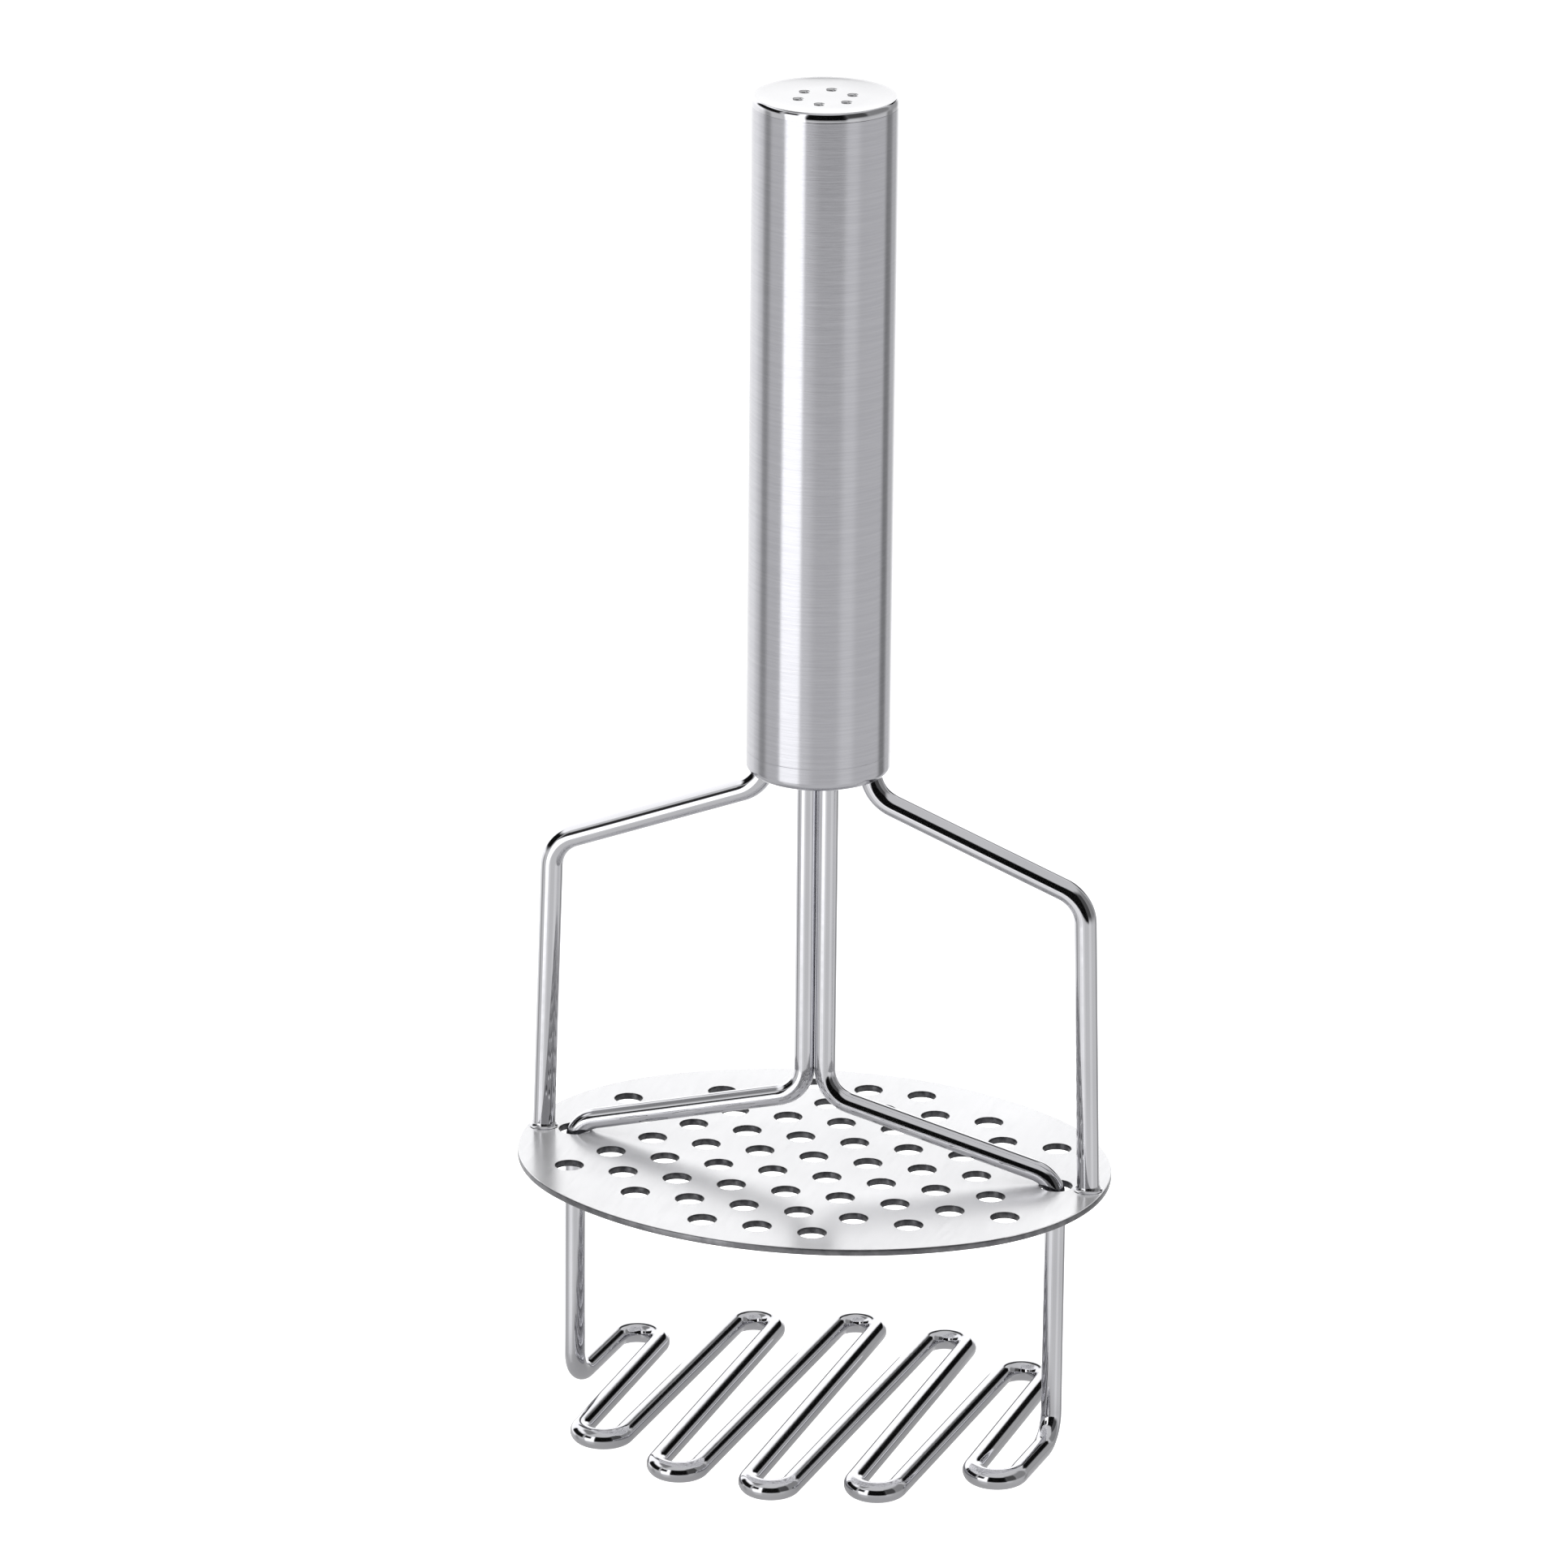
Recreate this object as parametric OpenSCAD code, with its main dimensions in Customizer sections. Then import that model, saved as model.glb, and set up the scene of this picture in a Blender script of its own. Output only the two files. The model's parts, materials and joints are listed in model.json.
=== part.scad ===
// Spring-loaded potato masher with two mashing members.
// Origin: on the floor under the handle's axis. +Z runs up the handle, X through the two side legs.

/* [Handle] */
// Outer diameter of the handle tube
handle_d = 25.4; // [22:0.1:30]
// Wall of the handle tube and of the bottom cap
handle_wall = 0.8; // [0.6:0.1:1.2]
// Length of the handle with both caps
handle_len = 122; // [115:0.5:150]
// Height of the handle's lower end above the plate
handle_rise = 72.8; // [66:0.1:90]
// Thickness of the top cap
top_cap_t = 1.6; // [1.2:0.1:2.5]
// Rounding of the top cap's edge
top_cap_round = 0.9; // [0.4:0.1:1.1]
// Height of the bottom cap
bottom_cap_h = 4.2; // [3.6:0.1:6]
// Rounding of the bottom cap's outer edge
bottom_cap_round = 1.5; // [1.2:0.1:2.8]

/* [Vent holes] */
// Diameter of a vent hole in the top cap
vent_d = 1.4; // [0.8:0.1:2]
// Diameter of the circle that the vent holes stand on
vent_ring_d = 9.8; // [7:0.1:16]
// Number of vent holes
vent_count = 6; // [3:1:10]
// Angle of the first vent hole
vent_angle = 34; // [0:1:59]

/* [Plate] */
// Length of the oval plate, along X
plate_len = 106.7; // [96:0.1:120]
// Width of the oval plate, along Y
plate_width = 86.2; // [76:0.1:90]
// Thickness of the plate
plate_t = 1.2; // [0.8:0.1:2]
// Diameter of a mashing hole
hole_d = 5; // [3.5:0.1:6]
// Distance between neighbouring mashing holes
hole_pitch = 10; // [8:0.1:14]
// Bare rim outside the mashing holes
rim_w = 4.8; // [3:0.1:8]
// Least web between a mashing hole and a guide hole
guide_web = 1.2; // [0.8:0.1:3]
// Gap all round a leg in its guide hole
guide_gap = 1.05; // [1:0.05:1.3]

/* [Frame wires] */
// Diameter of the outer wires
frame_wire_d = 4; // [3:0.1:4.4]
// Wall of the guide plug outside an outer wire
plug_web = 0.3; // [0.2:0.05:0.6]
// Drop from the handle's end to where the shoulder's line meets the wire inside the handle
shoulder_drop = 3.6; // [2.6:0.1:5]
// Fall of the shoulder from the handle to the side leg, in degrees from level
shoulder_slope = 21.15; // [12:0.05:25]
// Slant of a side leg outwards from the shoulder to the foot, in degrees
leg_splay = 1.65; // [0:0.05:2.2]
// Bend radius where the wire leaves the handle
upper_bend_r = 6.7; // [5:0.1:7.5]
// Bend radius at the shoulder's outer end
shoulder_bend_r = 6.5; // [5:0.1:9]
// Distance of a foot's centre from the plate's end
foot_inset = 2.96; // [2.9:0.02:5]
// Width of the weld bead round a foot
weld_w = 0.85; // [0.4:0.05:0.85]
// Height of the weld bead
weld_h = 0.9; // [0.4:0.1:2]

/* [Masher wire] */
// Diameter of the inner wire
wire_d = 3.7; // [3:0.1:3.9]
// Space left between the wave and the plate when the plate is pressed down
pressed_gap = 5.2; // [5:0.1:9]
// Number of runs in the wave, an odd number
wave_runs = 11; // [7:2:13]
// Lean of the first run and every other one from the Y axis, in degrees
wave_lean = 4; // [0:0.5:6]
// Angle between neighbouring runs, which draw together towards each loop
run_taper = 2.05; // [0:0.05:3]
// Distance of the longest loop's centre from the plate's side
loop_inset = 6.8; // [6:0.1:10]
// How far the wave sits towards the back, behind its legs
wave_shift = 1.6; // [0:0.1:2]
// Distance from a frame foot to the inner wire's leg beside it
leg_gap = 5.9; // [5.6:0.1:9]
// Bend radius from a leg into the wave
foot_bend_r = 5.2; // [3.5:0.1:5.8]
// Height above the plate where an arm's line meets its leg's line
arm_rise = 1.5; // [1.4:0.1:4]
// Bend radius from a leg into its arm
arm_bend_r = 5; // [3:0.1:5.2]
// Upward slope of an arm, in degrees
arm_slope = 14.1; // [8:0.1:16]
// Bend radius from an arm into its stem
stem_bend_r = 6; // [4:0.1:9]
// Gap between the twin stems
stem_gap = 0.1; // [0.1:0.05:0.3]

/* [Inner works] */
// How far the handle and the plate go down when they are pressed
press_travel = 40; // [38:0.5:46]
// Length of the guide plug
plug_len = 16; // [10:0.5:18]
// Thickness of the anchor disc
anchor_t = 1.5; // [1:0.1:2]
// How far the outer wires stand up through the anchor disc
anchor_peen = 1; // [0.5:0.1:1.5]
// Height of a ferrule
ferrule_h = 5; // [3:0.5:6]
// Wall of a ferrule
ferrule_wall = 1.2; // [0.8:0.1:1.5]
// Thickness of the plunger's disc
plunger_t = 3; // [2:0.1:4]
// Height of the bosses that centre the spring
boss_h = 3; // [2:0.1:4]
// How far the stems stand out of the upper ferrule
stem_end_h = 1; // [0.5:0.1:2]
// Thickness of the spring seat's disc
seat_t = 2.5; // [1.5:0.1:3]
// Diameter of the spring's wire
spring_wire_d = 1.6; // [1.2:0.1:1.8]
// Gap between the spring and the tube
spring_room = 1.5; // [1.2:0.1:1.8]
// Number of working curls
spring_curls = 12; // [8:1:14]

/* [Clearances] */
// Between fixed pieces that are fitted together
fit_gap = 0.05; // [0.03:0.01:0.08]
// Between pieces that slide past each other
slide_gap = 0.3; // [0.25:0.05:0.4]
// Between the spring and its seats at rest
seat_gap = 0.3; // [0.25:0.05:0.4]

/* [Hidden] */
$fn = 64;
overrun = 1;
// Rings in one curl of the spring, and sides of its wire
curl_rings = 8;
wire_sides = 6;

// Heights, from the floor up
wave_z = wire_d / 2;
plate_z = wire_d + pressed_gap + press_travel;
plate_top = plate_z + plate_t;
handle_z = plate_top + handle_rise;
handle_top = handle_z + handle_len;
tube_z = handle_z + bottom_cap_h;
tube_top = handle_top - top_cap_t;
bore_d = handle_d - 2 * handle_wall;
plug_top = tube_z + plug_len;
anchor_top = plug_top + anchor_t;
ferrule_z = anchor_top + anchor_peen + slide_gap + fit_gap;
plunger_z = ferrule_z + ferrule_h;
plunger_top = plunger_z + plunger_t;
upper_ferrule_z = plunger_top + boss_h;
stem_top = upper_ferrule_z + ferrule_h + stem_end_h;
seat_z = tube_top - seat_t;
spring_low = plunger_top + seat_gap;
spring_high = seat_z - seat_gap;
inner_d = bore_d - 2 * slide_gap;
spring_d = bore_d - 2 * spring_room - spring_wire_d;
boss_d = spring_d * cos(180 / curl_rings) - spring_wire_d - 2 * slide_gap;

// Places across the object
frame_top_x = bore_d / 2 - 2 * fit_gap - plug_web - frame_wire_d / 2;
foot_x = plate_len / 2 - foot_inset;
leg_x = foot_x - leg_gap;
stem_x = (wire_d + stem_gap) / 2;
guide_d = wire_d + 2 * guide_gap;

// Corner points of the outer wire in the XZ plane, from its top in the handle to its foot. The wire
// runs on past the plate's top, where it is cut flat.
shoulder_z = handle_z - shoulder_drop;
shoulder_len = (foot_x - (shoulder_z - plate_top) * tan(leg_splay) - frame_top_x)
    / (cos(shoulder_slope) - sin(shoulder_slope) * tan(leg_splay));
frame_path = [
    [frame_top_x, anchor_top + anchor_peen],
    [frame_top_x, shoulder_z],
    [frame_top_x + shoulder_len * cos(shoulder_slope), shoulder_z - shoulder_len * sin(shoulder_slope)],
    [foot_x + overrun * tan(leg_splay), plate_top - overrun]
];

// Corner points of the inner wire in the XZ plane, from the top of a stem to the floor of its leg
arm_corner_z = plate_top + arm_rise;
stem_path = [
    [stem_x, stem_top],
    [stem_x, arm_corner_z + (leg_x - stem_x) * tan(arm_slope)],
    [leg_x, arm_corner_z],
    [leg_x, wave_z + foot_bend_r]
];

// Wires are listed as steps of [length, bend radius, turn], from the top down. A turn is outwards
// when it is positive, and the last step has no bend.
function heading(from, to) = atan2(to[0] - from[0], from[1] - to[1]);
function turn_at(path, i) = heading(path[i], path[i + 1]) - heading(path[i - 1], path[i]);
function cut_at(path, radii, i) =
    i == 0 || i == len(path) - 1 ? 0 : radii[i - 1] * tan(abs(turn_at(path, i)) / 2);
function step_length(path, radii, i) =
    norm(path[i + 1] - path[i]) - cut_at(path, radii, i) - cut_at(path, radii, i + 1);
function wire_steps(path, radii) = [
    for (i = [0 : len(path) - 2])
        i == len(path) - 2 ? [step_length(path, radii, i)] :
        [step_length(path, radii, i), radii[i], turn_at(path, i + 1)]
];

// The wave. Run i crosses the X axis at run_x(i), and loop i joins run i to the next one.
run_pitch = 2 * leg_x / (wave_runs - 1);
loop_reach = plate_width / 2 - loop_inset;
// How far the loops' centres lie out, as shares of loop_reach, from the middle of the wave outwards
loop_shares = [[0.1, 0.98], [0.3, 0.91], [0.5, 0.85], [0.7, 0.63], [0.9, 0.51]];
function run_x(i) = i * run_pitch - leg_x;
function run_lean(i) = wave_lean - (i % 2) * run_taper;
function run_dir(i) = [sin(run_lean(i)), cos(run_lean(i))];
function loop_y(i) =
    let (x_share = abs(run_x(i) + run_pitch / 2) / leg_x)
    wave_shift + (i % 2 == 0 ? 1 : -1) * loop_reach * lookup(x_share, loop_shares);
// A loop's centre lies as far from one of its runs as from the other
function run_x_at(i, y) = run_x(i) + y * tan(run_lean(i));
function loop_x(i) =
    let (a = cos(run_lean(i)), b = cos(run_lean(i + 1)), y = loop_y(i))
    (a * run_x_at(i, y) + b * run_x_at(i + 1, y)) / (a + b);
function loop_r(i) = (loop_x(i) - run_x_at(i, loop_y(i))) * cos(run_lean(i));
wave_start = [-leg_x, 0] + (foot_bend_r + fit_gap) * run_dir(0);
wave_ends = [
    wave_start,
    for (i = [0 : wave_runs - 2]) [loop_x(i), loop_y(i)],
    [leg_x, 0] - (foot_bend_r + fit_gap) * run_dir(wave_runs - 1)
];
loop_turn = 180 - run_taper;
wave_steps = [
    for (i = [0 : wave_runs - 1])
        let (length = abs((wave_ends[i + 1] - wave_ends[i]) * run_dir(i)))
        i == wave_runs - 1 ? [length] : [length, loop_r(i), i % 2 == 0 ? loop_turn : -loop_turn]
];

// Spring: two closed end curls and the working curls between them
end_curls = 1;
closed_pitch_share = 1.35;
spring_curl_total = spring_curls + 2 * end_curls;
spring_span = spring_high - spring_low - spring_wire_d;
closed_pitch = spring_wire_d * closed_pitch_share;
working_pitch = (spring_span - 2 * end_curls * closed_pitch) / spring_curls;
function curl_z(t) =
    t < end_curls ? t * closed_pitch :
    t > end_curls + spring_curls ? spring_span - (spring_curl_total - t) * closed_pitch :
    end_curls * closed_pitch + (t - end_curls) * working_pitch;
function curl_point(t) = [
    spring_d / 2 * cos(360 * t),
    spring_d / 2 * sin(360 * t),
    spring_low + spring_wire_d / 2 + curl_z(t)
];
spring_path = [for (k = [0 : spring_curl_total * curl_rings]) curl_point(k / curl_rings)];
least_curl_gap = min([
    for (k = [0 : len(spring_path) - 1 - curl_rings])
        norm(spring_path[k + curl_rings] - spring_path[k]) - spring_wire_d
]);
echo(least_gap_between_spring_curls_mm = least_curl_gap);

function unit(v) = v / norm(v);

// Part of a ring. It starts at the origin along +Z and turns towards +X, or -X if turn is negative.
module bend(r, turn, d) {
    mirror([turn < 0 ? 1 : 0, 0, 0]) translate([r, 0, 0]) rotate([-90, 0, 0]) rotate(180)
        rotate_extrude(angle = abs(turn)) translate([r, 0]) circle(d = d);
}

// Moves its children to the far end of a bend
module past_bend(r, turn) {
    translate([sign(turn) * r, 0, 0]) rotate([0, turn, 0]) translate([-sign(turn) * r, 0, 0]) children();
}

// Wire along a list of steps, starting at the origin along +Z. Its children ride on its far end.
module wire(steps, d, i = 0) {
    step = steps[i];
    rotate(90) cylinder(d = d, h = step[0]);
    translate([0, 0, step[0]]) {
        if (i < len(steps) - 1) {
            bend(step[1], step[2], d);
            past_bend(step[1], step[2]) wire(steps, d, i + 1) children();
        } else {
            children();
        }
    }
}

// Wire down from the first corner point of a path in the XZ plane
module hanging_wire(path, radii, d) {
    translate([path[0][0], 0, path[0][1]]) rotate([180, 0, 0]) wire(wire_steps(path, radii), d) children();
}

// Outline round both stems, with a gap all round them
module twin_outline(gap) {
    for (side = [-1, 1]) translate([side * stem_x, 0]) circle(d = wire_d + 2 * gap);
    square([2 * stem_x, wire_d + 2 * gap], center = true);
}

module twin_hole(z, h, gap) {
    translate([0, 0, z - overrun]) linear_extrude(h + 2 * overrun) twin_outline(gap);
}

module frame_wire_holes(z, h) {
    for (side = [-1, 1])
        translate([side * frame_top_x, 0, z - overrun])
            cylinder(d = frame_wire_d + 2 * fit_gap, h = h + 2 * overrun);
}

module handle_tube() {
    color("silver") translate([0, 0, tube_z]) linear_extrude(tube_top - tube_z) difference() {
        circle(d = handle_d);
        circle(d = bore_d);
    }
}

module top_cap() {
    flat_r = handle_d / 2 - top_cap_round;
    color("gainsboro") translate([0, 0, tube_top]) difference() {
        rotate_extrude() {
            square([flat_r, top_cap_t]);
            square([handle_d / 2, top_cap_t - top_cap_round]);
            translate([flat_r, top_cap_t - top_cap_round]) intersection() {
                circle(r = top_cap_round);
                square(top_cap_round);
            }
        }
        for (i = [0 : vent_count - 1])
            rotate(vent_angle + i * 360 / vent_count)
                translate([vent_ring_d / 2, 0, -overrun])
                    cylinder(d = vent_d, h = top_cap_t + 2 * overrun);
    }
}

// Half section of a cup with a rounded foot
module cup_section(r, h, round_r) {
    square([r - round_r, h]);
    translate([0, round_r]) square([r, h - round_r]);
    translate([r - round_r, round_r]) intersection() {
        circle(r = round_r);
        translate([0, -round_r]) square(round_r);
    }
}

module bottom_cap() {
    color("silver") difference() {
        translate([0, 0, handle_z])
            rotate_extrude() cup_section(handle_d / 2, bottom_cap_h, bottom_cap_round);
        translate([0, 0, handle_z + handle_wall])
            rotate_extrude() cup_section(bore_d / 2, bottom_cap_h, bottom_cap_round - handle_wall);
        twin_hole(handle_z, handle_wall, slide_gap);
        for (turn = [0, 180]) rotate(turn) frame_wire_shape(frame_wire_d + 2 * fit_gap);
    }
}

module guide_plug() {
    color("whitesmoke") difference() {
        translate([0, 0, tube_z]) cylinder(d = bore_d - 2 * fit_gap, h = plug_len);
        frame_wire_holes(tube_z, plug_len);
        twin_hole(tube_z, plug_len, slide_gap);
    }
}

module anchor_disc() {
    color("lightgray") difference() {
        translate([0, 0, plug_top]) cylinder(d = bore_d - 2 * fit_gap, h = anchor_t);
        frame_wire_holes(plug_top, anchor_t);
        twin_hole(plug_top, anchor_t, slide_gap);
    }
}

module spring_seat() {
    color("dimgray") {
        translate([0, 0, seat_z]) cylinder(d = bore_d - 2 * fit_gap, h = seat_t);
        translate([0, 0, seat_z - boss_h]) cylinder(d = boss_d, h = boss_h);
    }
}

// Six-sided tube along the helix, with square ends
module return_spring() {
    rings = len(spring_path);
    points = [
        for (k = [0 : rings - 1])
            let (
                along = unit(spring_path[min(k + 1, rings - 1)] - spring_path[max(k - 1, 0)]),
                out = unit([spring_path[k][0], spring_path[k][1], 0]),
                up = cross(out, along)
            )
            for (s = [0 : wire_sides - 1])
                let (a = s * 360 / wire_sides)
                spring_path[k] + spring_wire_d / 2 * (cos(a) * out + sin(a) * up)
    ];
    walls = [
        for (k = [0 : rings - 2], s = [0 : wire_sides - 1])
            let (
                a = k * wire_sides + s,
                b = k * wire_sides + (s + 1) % wire_sides,
                c = b + wire_sides,
                d = a + wire_sides
            )
            each [[a, b, c], [a, c, d]]
    ];
    last = (rings - 1) * wire_sides;
    ends = [for (s = [1 : wire_sides - 2]) each [[0, s + 1, s], [last, last + s, last + s + 1]]];
    color("darkgray") polyhedron(points, concat(walls, ends));
}

module frame_wire_shape(d) {
    hanging_wire(frame_path, [upper_bend_r, shoulder_bend_r], d);
}

module frame_wire() {
    color("silver") difference() {
        frame_wire_shape(frame_wire_d);
        translate([foot_x, 0, plate_top - frame_wire_d]) cube(2 * frame_wire_d, center = true);
    }
}

module frame_wire_left() {
    rotate(180) frame_wire();
}

module frame_wire_right() {
    frame_wire();
}

module frame_foot_welds() {
    bead_d = frame_wire_d + 2 * fit_gap;
    color("lightgray") for (turn = [0, 180]) rotate(turn) difference() {
        translate([foot_x, 0, plate_top])
            cylinder(d1 = bead_d + 2 * weld_w, d2 = bead_d + weld_w / 2, h = weld_h);
        frame_wire_shape(bead_d);
    }
}

function in_plate(x, y) =
    let (inset = rim_w + hole_d / 2)
    pow(x / (plate_len / 2 - inset), 2) + pow(y / (plate_width / 2 - inset), 2) <= 1;
function clear_of_guides(x, y) =
    norm([abs(x) - leg_x, y]) >= (guide_d + hole_d) / 2 + guide_web;

// Oval of four arcs. Their centres lie on 3-4-5 triangles, so each arc runs smoothly into the next.
module plate_outline() {
    triangle_shares = [3, 4, 5];
    step = (plate_len - plate_width) / 4;
    end_x = triangle_shares[0] * step;
    end_r = plate_len / 2 - end_x;
    side_r = end_r + triangle_shares[2] * step;
    side_y = triangle_shares[1] * step;
    meet_x = side_r * triangle_shares[0] / triangle_shares[2];
    for (side = [-1, 1]) translate([side * end_x, 0]) circle(r = end_r);
    intersection() {
        translate([0, side_y]) circle(r = side_r);
        translate([0, -side_y]) circle(r = side_r);
        square([2 * meet_x, plate_width], center = true);
    }
}

module masher_plate() {
    row_pitch = hole_pitch * sin(60);
    rows = floor(plate_width / 2 / row_pitch);
    columns = ceil(plate_len / 2 / hole_pitch);
    color("gainsboro") translate([0, 0, plate_z]) linear_extrude(plate_t) difference() {
        plate_outline();
        for (side = [-1, 1]) translate([side * leg_x, 0]) circle(d = guide_d);
        for (row = [-rows : rows], column = [-columns : columns]) {
            x = (column + (row % 2 == 0 ? 0 : 1 / 2)) * hole_pitch;
            y = row * row_pitch;
            if (in_plate(x, y) && clear_of_guides(x, y)) translate([x, y]) circle(d = hole_d);
        }
    }
}

module wave_wire() {
    color("silver") translate([wave_start[0], wave_start[1], wave_z])
        rotate(-run_lean(0)) rotate([-90, 0, 0]) wire(wave_steps, wire_d);
}

// Right leg, arm and stem, down to the end of the bend into the wave
module stem_wire() {
    color("silver") hanging_wire(stem_path, [stem_bend_r, arm_bend_r], wire_d)
        rotate(90 + run_lean(0)) bend(foot_bend_r, 90, wire_d);
}

module stem_wire_left() {
    rotate(180) stem_wire();
}

module stem_wire_right() {
    stem_wire();
}

module ferrule(z) {
    color("gray") translate([0, 0, z]) linear_extrude(ferrule_h) difference() {
        twin_outline(ferrule_wall);
        twin_outline(fit_gap);
    }
}

module lower_ferrule() {
    ferrule(ferrule_z);
}

module upper_ferrule() {
    ferrule(upper_ferrule_z);
}

module plunger() {
    color("dimgray") difference() {
        union() {
            translate([0, 0, plunger_z]) cylinder(d = inner_d, h = plunger_t);
            translate([0, 0, plunger_top]) cylinder(d = boss_d, h = boss_h);
        }
        twin_hole(plunger_z, plunger_t + boss_h, fit_gap);
    }
}

handle_tube();
top_cap();
bottom_cap();
guide_plug();
anchor_disc();
spring_seat();
return_spring();
frame_wire_left();
frame_wire_right();
frame_foot_welds();
masher_plate();
wave_wire();
stem_wire_left();
stem_wire_right();
lower_ferrule();
plunger();
upper_ferrule();
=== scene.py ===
import json
from math import atan2, ceil, cos, hypot, pi, radians, sin, tan

import bmesh
import bpy
from mathutils import Matrix, Vector


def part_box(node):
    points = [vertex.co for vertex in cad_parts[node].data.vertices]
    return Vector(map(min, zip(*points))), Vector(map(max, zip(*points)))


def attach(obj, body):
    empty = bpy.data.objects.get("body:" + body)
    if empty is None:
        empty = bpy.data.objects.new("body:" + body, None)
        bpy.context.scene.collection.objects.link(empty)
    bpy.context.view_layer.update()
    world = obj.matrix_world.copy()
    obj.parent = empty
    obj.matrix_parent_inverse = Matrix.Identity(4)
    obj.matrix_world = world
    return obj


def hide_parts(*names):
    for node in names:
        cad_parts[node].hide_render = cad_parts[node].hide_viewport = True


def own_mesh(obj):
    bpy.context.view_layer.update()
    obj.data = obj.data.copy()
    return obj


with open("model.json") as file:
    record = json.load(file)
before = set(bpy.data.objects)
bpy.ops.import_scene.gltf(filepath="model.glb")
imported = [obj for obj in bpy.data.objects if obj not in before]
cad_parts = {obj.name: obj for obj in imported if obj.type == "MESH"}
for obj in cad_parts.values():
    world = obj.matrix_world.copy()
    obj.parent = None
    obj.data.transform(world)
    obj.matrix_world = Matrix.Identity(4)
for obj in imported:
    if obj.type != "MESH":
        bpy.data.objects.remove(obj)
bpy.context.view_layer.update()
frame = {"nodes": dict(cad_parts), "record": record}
scene = bpy.context.scene
mm = 0.001
up = Vector((0, 0, 1))
inDepth = Vector((0, 1, 0))  # away from the viewer
print("frame loaded:", len(frame["nodes"]), "nodes")

# Camera, at the photograph's angle
cameraSettings = {
    "azimuth": radians(16.59),
    "elevation": radians(19.25),
    "roll": radians(0.56),
    "distance": 1.687,
    "lens": 220.98,
    "sensor": 36,
    "target": Vector((-0.0062, 0, 0.1195)),
    "clip start": 0.05,
    "clip end": 20,
}


def addCamera(s):
    level = Vector((sin(s["azimuth"]), -cos(s["azimuth"]), 0))
    back = cos(s["elevation"]) * level + sin(s["elevation"]) * up
    right = Vector((cos(s["azimuth"]), sin(s["azimuth"]), 0))
    turn = Matrix.Rotation(s["roll"], 3, back)
    data = bpy.data.cameras.new("photoCamera")
    data.lens = s["lens"]
    data.sensor_width = s["sensor"]
    data.clip_start = s["clip start"]
    data.clip_end = s["clip end"]
    camera = bpy.data.objects.new("photoCamera", data)
    axes = Matrix((turn @ right, turn @ back.cross(right), back)).transposed().to_4x4()
    camera.matrix_world = Matrix.Translation(s["target"] + back * s["distance"]) @ axes
    scene.collection.objects.link(camera)
    scene.camera = camera


addCamera(cameraSettings)
scene.view_settings.view_transform = "Standard"
print("camera set")


# Node helpers, shared by the materials and the studio
def addNode(tree, kind, **values):
    node = tree.nodes.new(kind)
    for name, value in values.items():
        if name in node.bl_rna.properties:
            setattr(node, name, value)
        else:
            node.inputs[name.replace("_", " ")].default_value = value
    return node


def mathNode(tree, operation, *inputs, clamp=False):
    node = tree.nodes.new("ShaderNodeMath")
    node.operation = operation
    node.use_clamp = clamp
    for socket, value in zip(node.inputs, inputs):
        if isinstance(value, bpy.types.NodeSocket):
            tree.links.new(value, socket)
        else:
            socket.default_value = value
    return node.outputs[0]


def newGroup(name, inputs, outputs):
    group = bpy.data.node_groups.new(name, "ShaderNodeTree")
    for label, default in inputs:
        kind = "NodeSocketVector" if isinstance(default, tuple) else "NodeSocketFloat"
        group.interface.new_socket(label, in_out="INPUT", socket_type=kind).default_value = default
    for label, kind in outputs:
        group.interface.new_socket(label, in_out="OUTPUT", socket_type=kind)
    return group, group.nodes.new("NodeGroupInput").outputs, group.nodes.new("NodeGroupOutput").inputs


# Studio: bright tent, floor tones and black cards by direction. Only mirrored rays see them.
def makePanelGroup():
    group, given, result = newGroup(
        "studioPanel",
        [("Azimuth", 0.0), ("Elevation", 0.0), ("Centre", 0.0), ("Half Width", 10.0), ("Low", 0.0),
         ("High", 30.0), ("Side Edge", 6.0), ("Level Edge", 6.0)],
        [("Mask", "NodeSocketFloat")])
    offset = mathNode(group, "SUBTRACT", given["Azimuth"], given["Centre"])
    around = mathNode(group, "ABSOLUTE", mathNode(group, "WRAP", offset, 180.0, -180.0))

    def fade(value, edge, softness):
        distance = mathNode(group, "DIVIDE", mathNode(group, "SUBTRACT", edge, value), softness)
        step = addNode(group, "ShaderNodeMapRange", interpolation_type="SMOOTHSTEP")
        step.inputs["From Min"].default_value = -0.5
        step.inputs["From Max"].default_value = 0.5
        group.links.new(distance, step.inputs["Value"])
        return step.outputs[0]

    sides = fade(around, given["Half Width"], given["Side Edge"])
    top = fade(given["Elevation"], given["High"], given["Level Edge"])
    under = fade(given["Elevation"], given["Low"], given["Level Edge"])
    bottom = mathNode(group, "SUBTRACT", 1.0, under)
    mask = mathNode(group, "MULTIPLY", mathNode(group, "MULTIPLY", sides, top), bottom)
    group.links.new(mask, result["Mask"])
    return group


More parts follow.
